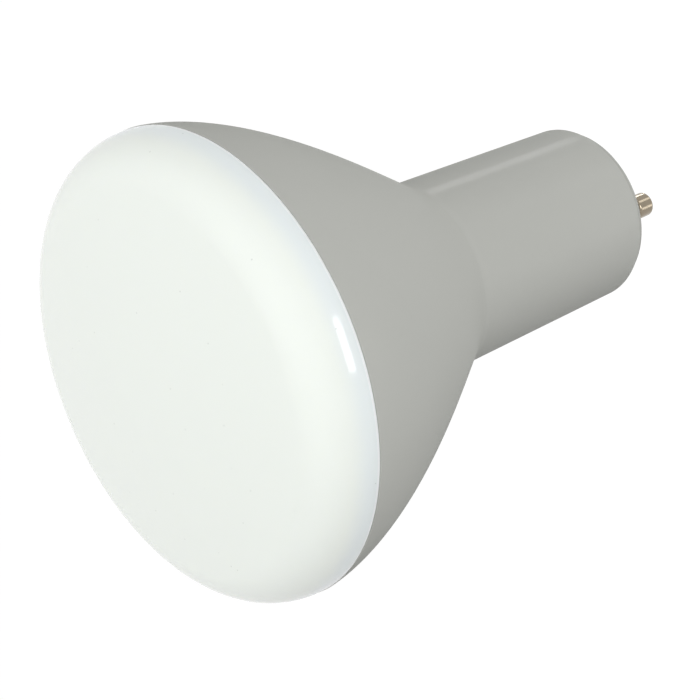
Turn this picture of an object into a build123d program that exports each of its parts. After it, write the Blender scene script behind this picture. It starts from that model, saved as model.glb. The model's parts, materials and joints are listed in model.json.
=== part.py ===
from build123d import *
from math import acos, asin, cos, degrees, radians, sin, sqrt, tan
import os

# A reflector-shaped LED flood lamp with a two-pin twist-lock base. Millimetres.
# The lamp's axis is Z. The base cap's outer face is at Z = 0, the pins point down
# and the lens faces up. The pins lie on the X axis.

# Housing, outside
RIM_R = 47.6
RIM_Z = 104.5
BELL_LENGTH = 54.8
BELL_RIM_ANGLE = 5.8
BELL_NECK_ANGLE = 30.0
BELL_RIM_HANDLE = 18.6
BELL_NECK_HANDLE = 10.0
BELL_FILLET = 25.0
NECK_TOP_R = 20.1
NECK_END_R = 19.25
NECK_END_ROUND = 0.4

# Housing, inside
WALL = 2.2
RIM_LAND = 2.8
MOUTH_DEPTH = 6.0
BOSS_R = 3.4
RIB_WIDTH = 1.6
RIB_INNER_R = 20.5
GUIDE_WIDTH = 1.2
GUIDE_GRIP = 1.5
GUIDE_CLEARANCE = 0.1
GUIDE_SHORT = 6.0

# Lens
LENS_STEP = 0.1
LENS_LIP = 0.5
SHOULDER_R = 10.9
FACE_R = 220.0
LENS_WALL = 2.0
LENS_SKIRT_WALL = 1.8
LENS_CLEARANCE = 0.1
SKIRT_END_GAP = 0.3

# Snap beads of the lens and the base cap, and the grooves that take them
BEAD_R = 0.6
BEAD_CLEARANCE = 0.08
LENS_BEAD_DROP = 3.0
CAP_BEAD_DROP = 2.0

# Base cap
CAP_R = 18.25
CAP_PROUD = 1.8
CAP_EDGE_ROUND = 0.4
CAP_FLOOR = 2.6
CAP_SKIRT = 6.0
CAP_SKIRT_WALL = 1.6
CAP_CLEARANCE = 0.1
PIN_BOSS_R = 3.6
PIN_BOSS_HEIGHT = 4.4

# Contact pins
PIN_SPACING = 24.0
PIN_LENGTH = 8.4
PIN_HEAD_R = 2.65
PIN_HEAD_HEIGHT = 4.6
PIN_HEAD_ROUND = 0.7
PIN_SHANK_R = 1.6
PIN_COLLAR_R = 2.2
PIN_COLLAR_HEIGHT = 0.8
PIN_RIVET_R = 2.4
PIN_RIVET_HEIGHT = 0.6
PIN_TAIL_R = 1.2
PIN_TAIL_HEIGHT = 2.4
PIN_CLEARANCE = 0.05

# Heat spreader dish, thermal pad and LED board
BOARD_DEPTH = 30.0
DISH_SHEET = 1.2
DISH_CLEARANCE = 0.2
DISH_BEND = 3.0
PAD_THICKNESS = 0.5
BOARD_THICKNESS = 1.6
BOARD_MARGIN = 2.0
WIRE_HOLE_R = 4.0

# Board screws
SCREW_COUNT = 3
SCREW_EDGE = 4.2
SCREW_R = 1.25
SCREW_LENGTH = 9.0
SCREW_HEAD_R = 2.8
SCREW_HEAD_HEIGHT = 2.0
SCREW_HEAD_ROUND = 0.9
SCREW_DRIVE_WIDTH = 0.8
SCREW_DRIVE_LENGTH = 3.2
SCREW_DRIVE_DEPTH = 1.0
SCREW_CLEARANCE = 0.2
PILOT_CLEARANCE = 0.05
PILOT_SPARE = 1.0

# LED packages
LED_LENGTH = 3.5
LED_WIDTH = 2.8
LED_HEIGHT = 0.8
LED_FRAME = 0.35
LED_POOL_DEPTH = 0.2
LED_OUTER_COUNT = 12
LED_INNER_COUNT = 6
LED_EDGE = 8.0
LED_RING_STEP = 9.0

# Board connector
CONNECTOR_LENGTH = 6.0
CONNECTOR_WIDTH = 7.0
CONNECTOR_HEIGHT = 3.6
CONNECTOR_GAP = 2.0
CONNECTOR_ENTRY = 2.0

# Driver board in the neck
DRIVER_OFFSET = 7.0
DRIVER_THICKNESS = 1.6
DRIVER_LENGTH = 48.0
DRIVER_SIDE_CLEARANCE = 0.3
ROW_START = 2.0
ROW_GAP = 1.5
PART_GAP = 1.0

# Legs of the parts on the driver board
LEG_R = 0.3
LEG_CLEARANCE = 0.1
LEG_STICKOUT = 1.0
LEG_PITCH = 2.5

# Parts on the driver board
FUSE_R = 1.8
FUSE_HEIGHT = 8.0
FUSE_ROUND = 0.9
VARISTOR_R = 3.4
VARISTOR_THICKNESS = 3.0
VARISTOR_ROUND = 1.0
VARISTOR_LIFT = 0.6
FILM_WIDTH = 8.0
FILM_DEPTH = 4.5
FILM_HEIGHT = 7.0
FILM_ROUND = 0.5
CAPACITOR_R = 4.0
INPUT_CAPACITOR_HEIGHT = 12.0
OUTPUT_CAPACITOR_HEIGHT = 13.0
CRIMP_R = 0.5
CRIMP_LIFT = 1.8
CAN_ROUND = 0.5
INDUCTOR_R = 3.2
INDUCTOR_HEIGHT = 7.5
INDUCTOR_WAIST_R = 2.5
INDUCTOR_FLANGE = 1.2
CHIP_LENGTH = 4.9
CHIP_WIDTH = 3.9
CHIP_HEIGHT = 1.5
BRIDGE_LENGTH = 4.7
BRIDGE_WIDTH = 4.0
BRIDGE_HEIGHT = 2.5
DIODE_LENGTH = 2.7
DIODE_WIDTH = 4.3
DIODE_HEIGHT = 2.2
FOOT_REACH = 0.9
FOOT_WIDTH = 0.5
FOOT_THICKNESS = 0.25
CHIP_LIFT = 0.1

# Transformer
LEG_DEPTH = 5.0
CENTRE_LEG = 4.0
SIDE_LEG = 2.2
WINDOW_WIDTH = 3.6
WINDOW_LENGTH = 10.0
YOKE = 3.0
BOBBIN_WALL = 0.7
BOBBIN_FLANGE = 0.9
BOBBIN_CLEARANCE = 0.1
WINDING_ROUND = 0.5
FLANGE_OVER_WINDING = 0.4
FLANGE_FOOT = 0.5

# Insulated leads
LEAD_R = 0.7
LEAD_PITCH = 2.6
LEAD_BEND = 3.0
LEAD_ENTRY_CLEARANCE = 0.1
PIN_LEAD_RISE = 8.0
PIN_LEAD_RUN = 1.5
PIN_LEAD_SIDE = 1.5

# Heights along the axis
NECK_Z = RIM_Z - BELL_LENGTH
SKIRT_TOP = CAP_PROUD + CAP_SKIRT
DISH_Z = RIM_Z - BOARD_DEPTH
PAD_Z = DISH_Z + DISH_SHEET
BOARD_Z = PAD_Z + PAD_THICKNESS
BOARD_TOP = BOARD_Z + BOARD_THICKNESS
DISH_TOP = RIM_Z - MOUTH_DEPTH - SKIRT_END_GAP
RIVET_Z = CAP_FLOOR + PIN_BOSS_HEIGHT
TAIL_TOP = RIVET_Z + PIN_RIVET_HEIGHT + PIN_TAIL_HEIGHT

# Radii of the fits
MOUTH_R = RIM_R - RIM_LAND
SOCKET_R = NECK_END_R - WALL
CAP_SKIRT_R = SOCKET_R - CAP_CLEARANCE
LENS_SKIRT_R = MOUTH_R - LENS_CLEARANCE
LENS_R = RIM_R - LENS_STEP

# How a box or cylinder sits on its place: on its end, or on its end and reaching along X
ON_END = (Align.CENTER, Align.CENTER, Align.MIN)
FROM_AXIS = (Align.MIN, Align.CENTER, Align.MIN)

# How near an edge lies to a height to count as being there, and how often the bell's curve is halved
LEVEL = 0.01
HALVINGS = 40


def lathe(*edges):
    """Solid turned about Z from a closed half section drawn as (radius, height)."""
    return revolve(Plane.XZ * make_face(edges), Axis.Z)


def disc(radius, low, high):
    """Upright cylinder on the axis between two heights."""
    return Pos(0, 0, low) * Cylinder(radius, high - low, align=ON_END)


def ring_edge(solid, height):
    """The outermost round edge at a height, which is the longest edge there."""
    level = solid.edges().filter_by_position(Axis.Z, height - LEVEL, height + LEVEL)
    return level.sort_by(SortBy.LENGTH)[-1]


# Bell and neck

def bell_points(inset):
    """Control points of the bell's curve, moved in from the outside by an inset, from neck to rim."""
    neck = radians(BELL_NECK_ANGLE)
    rim = radians(BELL_RIM_ANGLE)
    neck_in = Vector(-cos(neck), sin(neck)) * inset
    rim_in = Vector(-cos(rim), sin(rim)) * inset
    start = Vector(NECK_TOP_R, NECK_Z)
    end = Vector(RIM_R, RIM_Z)
    return [
        Vector(NECK_TOP_R - inset, NECK_Z + inset * tan(neck / 2)),
        start + Vector(sin(neck), cos(neck)) * BELL_NECK_HANDLE + neck_in,
        end - Vector(sin(rim), cos(rim)) * BELL_RIM_HANDLE + rim_in,
        end + rim_in,
    ]


def bell_radius(height, inset):
    """Radius of the inset bell at a height, found by halving along its curve."""
    curve = Bezier(*bell_points(inset))
    low = 0.0
    high = 1.0
    for _ in range(HALVINGS):
        middle = (low + high) / 2
        if (curve @ middle).Y < height:
            low = middle
        else:
            high = middle
    return (curve @ low).X


def body(inset):
    """Solid bell and neck, moved in from the outside by an inset, with the corner between them rounded."""
    points = bell_points(inset)
    top = points[-1].Y
    foot = Vector(NECK_END_R - inset, CAP_PROUD)
    solid = lathe(
        Line((0, CAP_PROUD), foot),
        Line(foot, points[0]),
        Bezier(*points),
        Line(points[-1], (0, top)),
        Line((0, top), (0, CAP_PROUD)),
    )
    return fillet(ring_edge(solid, points[0].Y), BELL_FILLET + inset)


def dish_solid(inset, floor):
    """The space inside the bell from a floor to the dish's top edge, at an inset from the outside."""
    return body(inset) & disc(RIM_R, floor, DISH_TOP)


DISH_OUTSIDE = WALL + DISH_CLEARANCE
DISH_INSIDE = DISH_OUTSIDE + DISH_SHEET
BOARD_R = bell_radius(PAD_Z, DISH_INSIDE) - BOARD_MARGIN
SCREW_CIRCLE_R = BOARD_R - SCREW_EDGE
SCREW_PLACES = PolarLocations(SCREW_CIRCLE_R, SCREW_COUNT)
SCREW_TIP_Z = BOARD_TOP - SCREW_LENGTH
RIB_PLACES = PolarLocations(0, SCREW_COUNT, 180 / SCREW_COUNT)

# Driver board: its width is the chord of the neck's socket at its offset from the axis
DRIVER_FRONT = DRIVER_THICKNESS / 2 - DRIVER_OFFSET
DRIVER_BACK = DRIVER_FRONT - DRIVER_THICKNESS
DRIVER_HALF = sqrt(SOCKET_R**2 - DRIVER_BACK**2) - DRIVER_SIDE_CLEARANCE


def guide(side, face, outward):
    """One rib that holds an edge of the driver board: it stands off a face of the board, on one side."""
    inner = DRIVER_HALF - GUIDE_GRIP
    length = DRIVER_LENGTH - GUIDE_SHORT
    centre = face + outward * (GUIDE_CLEARANCE + GUIDE_WIDTH / 2)
    box = Box(NECK_TOP_R, GUIDE_WIDTH, length, align=FROM_AXIS)
    rib = Pos(inner, centre, SKIRT_TOP + SKIRT_END_GAP) * box
    return rib if side > 0 else mirror(rib, Plane.YZ)


def make_housing():
    """Moulded shell: bell, neck, screw bosses, dish ribs, board guides and the two snap grooves."""
    shell = body(0)
    shell = fillet(ring_edge(shell, CAP_PROUD), NECK_END_ROUND)
    shell -= body(WALL) & disc(RIM_R, CAP_PROUD, RIM_Z - MOUTH_DEPTH)
    shell -= disc(MOUTH_R, RIM_Z - MOUTH_DEPTH, RIM_Z)
    rib = Pos(RIB_INNER_R, 0, NECK_Z) * Box(RIM_R, RIB_WIDTH, DISH_Z - NECK_Z, align=FROM_AXIS)
    boss = disc(BOSS_R, NECK_Z, DISH_Z)
    inside = [place * boss for place in SCREW_PLACES]
    inside += [place * rib for place in RIB_PLACES]
    inside += [guide(side, DRIVER_FRONT, 1) for side in (-1, 1)]
    inside += [guide(side, DRIVER_BACK, -1) for side in (-1, 1)]
    core = body(WALL / 2)
    for piece in inside:
        shell += piece & core
    pilot = disc(SCREW_R + PILOT_CLEARANCE, SCREW_TIP_Z - PILOT_SPARE, DISH_Z)
    for place in SCREW_PLACES:
        shell -= place * pilot
    groove = BEAD_R + BEAD_CLEARANCE
    shell -= Pos(0, 0, RIM_Z - LENS_BEAD_DROP) * Torus(LENS_SKIRT_R, groove)
    shell -= Pos(0, 0, SKIRT_TOP - CAP_BEAD_DROP) * Torus(CAP_SKIRT_R, groove)
    return shell


def make_lens():
    """Milky diffuser: domed face, round shoulder, a lip on the housing's rim and a skirt inside its mouth."""
    lip_z = RIM_Z + LENS_LIP
    flange_z = RIM_Z + LENS_WALL
    skirt_z = RIM_Z - MOUTH_DEPTH + SKIRT_END_GAP
    skirt_in = LENS_SKIRT_R - LENS_SKIRT_WALL
    centre_r = LENS_R - SHOULDER_R
    inner_shoulder = SHOULDER_R - LENS_WALL
    turn = degrees(acos(centre_r / (FACE_R - SHOULDER_R)))
    face_z = lip_z - centre_r * tan(radians(turn))
    start = degrees(asin((LENS_WALL - LENS_LIP) / inner_shoulder))
    outer = CenterArc((centre_r, lip_z), SHOULDER_R, 0, turn)
    face = CenterArc((0, face_z), FACE_R, turn, 90 - turn)
    inner = CenterArc((centre_r, lip_z), inner_shoulder, start, turn - start)
    back = CenterArc((0, face_z), FACE_R - LENS_WALL, turn, 90 - turn)
    foot = Polyline(inner @ 0, (skirt_in, flange_z), (skirt_in, skirt_z), (LENS_SKIRT_R, skirt_z),
                    (LENS_SKIRT_R, RIM_Z), (LENS_R, RIM_Z), (LENS_R, lip_z))
    lens = lathe(foot, outer, face, Line(face @ 1, back @ 1), back, inner)
    return lens + Pos(0, 0, RIM_Z - LENS_BEAD_DROP) * Torus(LENS_SKIRT_R, BEAD_R)


# Base

def pin_places():
    """The two pins' places on the X axis."""
    return [Pos(side * PIN_SPACING / 2, 0, 0) for side in (-1, 1)]


def make_base_cap():
    """Cap that closes the neck: flange on the neck's end, skirt inside it, and a stepped boss for each pin."""
    cap = disc(CAP_R, 0, CAP_PROUD)
    cap = fillet(ring_edge(cap, 0), CAP_EDGE_ROUND)
    cap += disc(CAP_SKIRT_R, 0, SKIRT_TOP)
    cap -= disc(CAP_SKIRT_R - CAP_SKIRT_WALL, CAP_FLOOR, SKIRT_TOP)
    boss = disc(PIN_BOSS_R, 0, RIVET_Z)
    hole = disc(PIN_SHANK_R + PIN_CLEARANCE, 0, RIVET_Z)
    hole += disc(PIN_COLLAR_R + PIN_CLEARANCE, 0, PIN_COLLAR_HEIGHT)
    for place in pin_places():
        cap += place * boss & disc(CAP_SKIRT_R, 0, RIVET_Z)
    for place in pin_places():
        cap -= place * hole
    return cap + Pos(0, 0, SKIRT_TOP - CAP_BEAD_DROP) * Torus(CAP_SKIRT_R, BEAD_R)


def make_pin():
    """Turned contact pin: thick head, shank, collar let into the cap, riveted ring on its boss and a tail."""
    head = disc(PIN_HEAD_R, -PIN_LENGTH, PIN_HEAD_HEIGHT - PIN_LENGTH)
    head = fillet(head.edges().filter_by(GeomType.CIRCLE), PIN_HEAD_ROUND)
    pin = head + disc(PIN_SHANK_R, PIN_HEAD_HEIGHT - PIN_LENGTH, RIVET_Z)
    pin += disc(PIN_COLLAR_R, 0, PIN_COLLAR_HEIGHT)
    pin += disc(PIN_RIVET_R, RIVET_Z, RIVET_Z + PIN_RIVET_HEIGHT)
    return pin + disc(PIN_TAIL_R, RIVET_Z, TAIL_TOP)


# Light engine

def drilled(plate, low, high):
    """A plate of the light engine with the lead hole and the screw holes through it."""
    plate -= disc(WIRE_HOLE_R, low, high)
    hole = disc(SCREW_R + SCREW_CLEARANCE, low, high)
    for place in SCREW_PLACES:
        plate -= place * hole
    return plate


def make_heat_spreader():
    """Drawn aluminium dish that lines the bell, with a flat floor on the housing's bosses."""
    outside = dish_solid(DISH_OUTSIDE, DISH_Z)
    outside = fillet(ring_edge(outside, DISH_Z), DISH_BEND)
    inside = dish_solid(DISH_INSIDE, PAD_Z)
    inside = fillet(ring_edge(inside, PAD_Z), DISH_BEND - DISH_SHEET)
    return drilled(outside - inside, DISH_Z, PAD_Z)


def make_thermal_pad():
    """Soft pad between the dish's floor and the LED board."""
    return drilled(disc(BOARD_R, PAD_Z, BOARD_Z), PAD_Z, BOARD_Z)


def make_led_board():
    """Round metal-core board."""
    return drilled(disc(BOARD_R, BOARD_Z, BOARD_TOP), BOARD_Z, BOARD_TOP)


def make_led():
    """One package, with a shallow pool in its top inside a frame."""
    package = Pos(0, 0, BOARD_TOP) * Box(LED_WIDTH, LED_LENGTH, LED_HEIGHT, align=ON_END)
    pool = Box(LED_WIDTH - 2 * LED_FRAME, LED_LENGTH - 2 * LED_FRAME, LED_POOL_DEPTH)
    return package - Pos(0, 0, BOARD_TOP + LED_HEIGHT - LED_POOL_DEPTH / 2) * pool


def led_places():
    """Places of the packages, outer ring first, each ring clear of the screws and the connector."""
    outer = BOARD_R - LED_EDGE
    rings = [(outer, LED_OUTER_COUNT), (outer - LED_RING_STEP, LED_INNER_COUNT)]
    return [place for radius, count in rings for place in PolarLocations(radius, count, 180 / count)]


def make_board_screws():
    """Pan-head screws with a cross drive, through board, pad and dish into the bosses."""
    head_top = BOARD_TOP + SCREW_HEAD_HEIGHT
    screw = disc(SCREW_HEAD_R, BOARD_TOP, head_top)
    screw = fillet(ring_edge(screw, head_top), SCREW_HEAD_ROUND)
    screw += disc(SCREW_R, SCREW_TIP_Z, BOARD_TOP)
    slot = Pos(0, 0, head_top) * Box(SCREW_DRIVE_LENGTH, SCREW_DRIVE_WIDTH, 2 * SCREW_DRIVE_DEPTH)
    screw -= slot
    screw -= Rot(0, 0, 90) * slot
    return Compound([place * screw for place in SCREW_PLACES])


LEAD_Z = BOARD_TOP + CONNECTOR_HEIGHT / 2
CONNECTOR_X = WIRE_HOLE_R + CONNECTOR_GAP
LEAD_SIDES = {"plus": LEAD_PITCH / 2, "minus": -LEAD_PITCH / 2}


def make_board_connector():
    """Block on the LED board that takes the two leads."""
    block = Box(CONNECTOR_LENGTH, CONNECTOR_WIDTH, CONNECTOR_HEIGHT, align=FROM_AXIS)
    block = Pos(CONNECTOR_X, 0, BOARD_TOP) * block
    entry = Rot(0, 90, 0) * Cylinder(LEAD_R + LEAD_ENTRY_CLEARANCE, CONNECTOR_ENTRY, align=ON_END)
    for side in LEAD_SIDES.values():
        block -= Pos(CONNECTOR_X, side, LEAD_Z) * entry
    return block


# Driver

def spread(widths):
    """Centres of pieces that stand side by side with a gap between them, centred on the board's middle."""
    left = -(sum(widths) + PART_GAP * (len(widths) - 1)) / 2
    centres = []
    for width in widths:
        centres.append(left + width / 2)
        left += width + PART_GAP
    return centres


TRANSFORMER_SPAN = CENTRE_LEG + 2 * WINDOW_WIDTH + 2 * SIDE_LEG
ROW_SPANS = [max(2 * VARISTOR_R, FILM_DEPTH, 2 * FUSE_R), TRANSFORMER_SPAN, 2 * CAPACITOR_R, 2 * INDUCTOR_R]
ROW_Z = [
    SKIRT_TOP + ROW_START + sum(ROW_SPANS[:row]) + ROW_GAP * row + ROW_SPANS[row] / 2
    for row in range(len(ROW_SPANS))
]
INPUT_Z, TRANSFORMER_Z, CAPACITOR_Z, OUTPUT_Z = ROW_Z
FUSE_X, VARISTOR_X, FILM_X = spread([2 * FUSE_R, VARISTOR_THICKNESS, FILM_WIDTH])
OUTPUT_CAPACITOR_X, INPUT_CAPACITOR_X = spread([2 * CAPACITOR_R, 2 * CAPACITOR_R])
INDUCTOR_X = -(INDUCTOR_R + PART_GAP + LEAD_R + LEAD_PITCH / 2)

# Each part's legs: the part's centre on the board and the direction that its two legs lie along
LEG_ROWS = {
    "fuse_resistor": (FUSE_X, INPUT_Z, (0, 1)),
    "varistor": (VARISTOR_X, INPUT_Z, (0, 1)),
    "film_capacitor": (FILM_X, INPUT_Z, (1, 0)),
    "input_capacitor": (INPUT_CAPACITOR_X, CAPACITOR_Z, (1, 0)),
    "output_capacitor": (OUTPUT_CAPACITOR_X, CAPACITOR_Z, (1, 0)),
    "filter_inductor": (INDUCTOR_X, OUTPUT_Z, (1, 0)),
}


def on_board(x, z):
    """A place on the board's front face, with the local Z axis pointing away from the board."""
    return Location(Plane((x, DRIVER_FRONT, z), x_dir=(1, 0, 0), z_dir=(0, 1, 0)))


def behind_board(x, z):
    """A place on the board's back face, with the local Z axis pointing away from the board."""
    return Location(Plane((x, DRIVER_BACK, z), x_dir=(1, 0, 0), z_dir=(0, -1, 0)))


def leg_places(part):
    """Places of a part's two legs on the board's front face."""
    x, z, (along_x, along_z) = LEG_ROWS[part]
    step = LEG_PITCH / 2
    return [on_board(x + side * step * along_x, z + side * step * along_z) for side in (-1, 1)]


def with_legs(part, solid, rise=0.0):
    """A part on its place, with its two legs run from inside it through the board."""
    x, z, _ = LEG_ROWS[part]
    placed = on_board(x, z) * solid
    leg = disc(LEG_R, -DRIVER_THICKNESS - LEG_STICKOUT, rise)
    for place in leg_places(part):
        placed += place * leg
    return placed


def make_driver_board():
    """Upright board whose lower corners stand on the base cap's skirt, drilled for every leg."""
    align = (Align.CENTER, Align.MIN, Align.MIN)
    board = Box(2 * DRIVER_HALF, DRIVER_THICKNESS, DRIVER_LENGTH, align=align)
    board = Pos(0, DRIVER_BACK, SKIRT_TOP) * board
    hole = disc(LEG_R + LEG_CLEARANCE, -DRIVER_THICKNESS, 0)
    for part in LEG_ROWS:
        for place in leg_places(part):
            board -= place * hole
    return board


def make_capacitor(height):
    """Electrolytic can with the crimped groove above its seal."""
    can = disc(CAPACITOR_R, 0, height)
    can = fillet(ring_edge(can, height), CAN_ROUND)
    return can - Pos(0, 0, CRIMP_LIFT) * Torus(CAPACITOR_R, CRIMP_R)


def make_fuse_resistor():
    """Round resistor that stands on end."""
    rod = disc(FUSE_R, 0, FUSE_HEIGHT)
    return fillet(ring_edge(rod, FUSE_HEIGHT), FUSE_ROUND)


def make_varistor():
    """Coated disc that stands on its edge, lifted off the board by its legs."""
    coin = Cylinder(VARISTOR_R, VARISTOR_THICKNESS, rotation=(0, 90, 0))
    coin = fillet(coin.edges().filter_by(GeomType.CIRCLE), VARISTOR_ROUND)
    return Pos(0, 0, VARISTOR_LIFT + VARISTOR_R) * coin


def make_film_capacitor():
    """Boxed capacitor with rounded upright edges."""
    box = Box(FILM_WIDTH, FILM_DEPTH, FILM_HEIGHT, align=ON_END)
    return fillet(box.edges().filter_by(Axis.Z), FILM_ROUND)


def make_filter_inductor():
    """Drum core with its winding in the waist."""
    drum = disc(INDUCTOR_R, 0, INDUCTOR_HEIGHT)
    waist = disc(INDUCTOR_R, INDUCTOR_FLANGE, INDUCTOR_HEIGHT - INDUCTOR_FLANGE)
    return drum - waist + disc(INDUCTOR_WAIST_R, INDUCTOR_FLANGE, INDUCTOR_HEIGHT - INDUCTOR_FLANGE)


def make_chip(length, width, height, feet):
    """Flat package on a row of bent feet along each of its two sides."""
    package = Pos(0, 0, CHIP_LIFT) * Box(width, length, height - CHIP_LIFT, align=ON_END)
    knee = height / 2
    pitch = length / feet
    foot = Box(FOOT_REACH, FOOT_WIDTH, FOOT_THICKNESS, align=FROM_AXIS)
    riser = Box(FOOT_THICKNESS, FOOT_WIDTH, knee, align=FROM_AXIS)
    arm = Pos(0, 0, knee - FOOT_THICKNESS) * foot
    lead = arm + Pos(FOOT_REACH - FOOT_THICKNESS, 0, 0) * (riser + foot)
    for number in range(feet):
        y = (number - (feet - 1) / 2) * pitch
        package += Pos(width / 2, y, 0) * lead
        package += Pos(-width / 2, y, 0) * Rot(0, 0, 180) * lead
    return package


# Transformer: its axis lies along X, and its flanges stand on the board
TUBE_SPAN = CENTRE_LEG + 2 * (BOBBIN_CLEARANCE + BOBBIN_WALL)
TUBE_DEPTH = LEG_DEPTH + 2 * (BOBBIN_CLEARANCE + BOBBIN_WALL)
BOBBIN_LENGTH = WINDOW_LENGTH - 2 * BOBBIN_CLEARANCE
FLANGE_SPAN = CENTRE_LEG + 2 * (WINDOW_WIDTH - BOBBIN_CLEARANCE)
WINDING_SPAN = FLANGE_SPAN - 2 * FLANGE_OVER_WINDING
WINDING_DEPTH = TUBE_DEPTH + WINDING_SPAN - TUBE_SPAN
FLANGE_DEPTH = WINDING_DEPTH + 2 * FLANGE_OVER_WINDING
AXIS_LIFT = FLANGE_DEPTH / 2 + FLANGE_FOOT


def on_transformer(solid):
    """Puts a piece, drawn round the transformer's axis, on its place on the board."""
    return on_board(0, TRANSFORMER_Z) * (Pos(0, 0, AXIS_LIFT) * solid)


def make_transformer_core():
    """Ferrite frame with two windows, its centre leg through the bobbin."""
    frame = Box(WINDOW_LENGTH + 2 * YOKE, TRANSFORMER_SPAN, LEG_DEPTH)
    window = Box(WINDOW_LENGTH, WINDOW_WIDTH, LEG_DEPTH)
    step = (CENTRE_LEG + WINDOW_WIDTH) / 2
    return on_transformer(frame - Pos(0, step, 0) * window - Pos(0, -step, 0) * window)


def make_transformer_bobbin():
    """Square tube with two flanges that stand on the board."""
    flange = Pos(0, 0, -FLANGE_FOOT / 2) * Box(BOBBIN_FLANGE, FLANGE_SPAN, FLANGE_DEPTH + FLANGE_FOOT)
    bobbin = Box(BOBBIN_LENGTH, TUBE_SPAN, TUBE_DEPTH)
    end = (BOBBIN_LENGTH - BOBBIN_FLANGE) / 2
    bobbin += Pos(end, 0, 0) * flange
    bobbin += Pos(-end, 0, 0) * flange
    hole = Box(BOBBIN_LENGTH, CENTRE_LEG + 2 * BOBBIN_CLEARANCE, LEG_DEPTH + 2 * BOBBIN_CLEARANCE)
    return on_transformer(bobbin - hole)


def make_transformer_winding():
    """Taped winding round the bobbin's tube, between its flanges."""
    length = BOBBIN_LENGTH - 2 * BOBBIN_FLANGE
    winding = Box(length, WINDING_SPAN, WINDING_DEPTH)
    winding = fillet(winding.edges().filter_by(Axis.X), WINDING_ROUND)
    return on_transformer(winding - Box(length, TUBE_SPAN, TUBE_DEPTH))


# Leads

def make_lead(*points):
    """Insulated lead along straight runs joined by bends."""
    path = FilletPolyline(*points, radius=LEAD_BEND)
    return sweep(Plane(path @ 0, z_dir=path % 0) * Circle(LEAD_R), path=path)


def make_pin_lead(side):
    """Lead from a pin's tail to the driver board's front face, where it lands beside the guide rib."""
    x = side * PIN_SPACING / 2
    landing = side * (DRIVER_HALF - GUIDE_GRIP - PIN_LEAD_SIDE - LEAD_R)
    top = TAIL_TOP + PIN_LEAD_RISE
    near = DRIVER_FRONT + PIN_LEAD_RUN
    return make_lead((x, 0, TAIL_TOP), (x, 0, top), (landing, near, top), (landing, DRIVER_FRONT, top))


def make_led_lead(side):
    """Lead from the driver board up through the dish's hole and over into the LED board's connector."""
    start = (side, DRIVER_FRONT, OUTPUT_Z)
    end = (CONNECTOR_X + CONNECTOR_ENTRY, side, LEAD_Z)
    return make_lead(start, (side, side, OUTPUT_Z), (side, side, LEAD_Z), end)


nodes = {
    "lens": make_lens(),
    "housing": make_housing(),
    "base_cap": make_base_cap(),
    "heat_spreader": make_heat_spreader(),
    "thermal_pad": make_thermal_pad(),
    "led_board": make_led_board(),
    "board_screws": make_board_screws(),
    "board_connector": make_board_connector(),
    "driver_board": make_driver_board(),
    "transformer_core": make_transformer_core(),
    "transformer_bobbin": make_transformer_bobbin(),
    "transformer_winding": make_transformer_winding(),
    "input_capacitor": with_legs("input_capacitor", make_capacitor(INPUT_CAPACITOR_HEIGHT)),
    "output_capacitor": with_legs("output_capacitor", make_capacitor(OUTPUT_CAPACITOR_HEIGHT)),
    "film_capacitor": with_legs("film_capacitor", make_film_capacitor()),
    "fuse_resistor": with_legs("fuse_resistor", make_fuse_resistor()),
    "varistor": with_legs("varistor", make_varistor(), VARISTOR_LIFT + VARISTOR_R),
    "filter_inductor": with_legs("filter_inductor", make_filter_inductor()),
    "lead_live": make_pin_lead(-1),
    "lead_neutral": make_pin_lead(1),
}

for name, place in zip(("contact_pin_left", "contact_pin_right"), pin_places()):
    nodes[name] = place * make_pin()

for name, side in LEAD_SIDES.items():
    nodes[f"lead_led_{name}"] = make_led_lead(side)

for number, place in enumerate(led_places(), start=1):
    nodes[f"led_{number:02d}"] = place * make_led()

# Flat packages behind the transformer, one above the other
CHIPS = {
    "bridge_rectifier": (BRIDGE_LENGTH, BRIDGE_WIDTH, BRIDGE_HEIGHT, 2),
    "driver_chip": (CHIP_LENGTH, CHIP_WIDTH, CHIP_HEIGHT, 4),
    "output_diode": (DIODE_LENGTH, DIODE_WIDTH, DIODE_HEIGHT, 1),
}
chip_z = TRANSFORMER_Z - TRANSFORMER_SPAN / 2
for name, (length, width, height, feet) in CHIPS.items():
    nodes[name] = behind_board(0, chip_z + length / 2) * make_chip(length, width, height, feet)
    chip_z += length + PART_GAP

os.makedirs("parts", exist_ok=True)
for name, solid in nodes.items():
    export_step(solid, f"parts/{name}.step")
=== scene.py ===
"""Looks of an LED flood bulb: milky lens, glossy grey housing, base cap, plated pins and the parts inside.

Metres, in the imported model's frame: Z is the lamp's axis, the base cap's outer face is at Z = 0, the lens
faces up and the two contact pins lie on X and point down.
"""

import json
import logging
import math
from dataclasses import dataclass
from enum import Enum
from typing import Any, Sequence

import bpy
import numpy as np
from mathutils import Matrix, Vector


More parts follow.
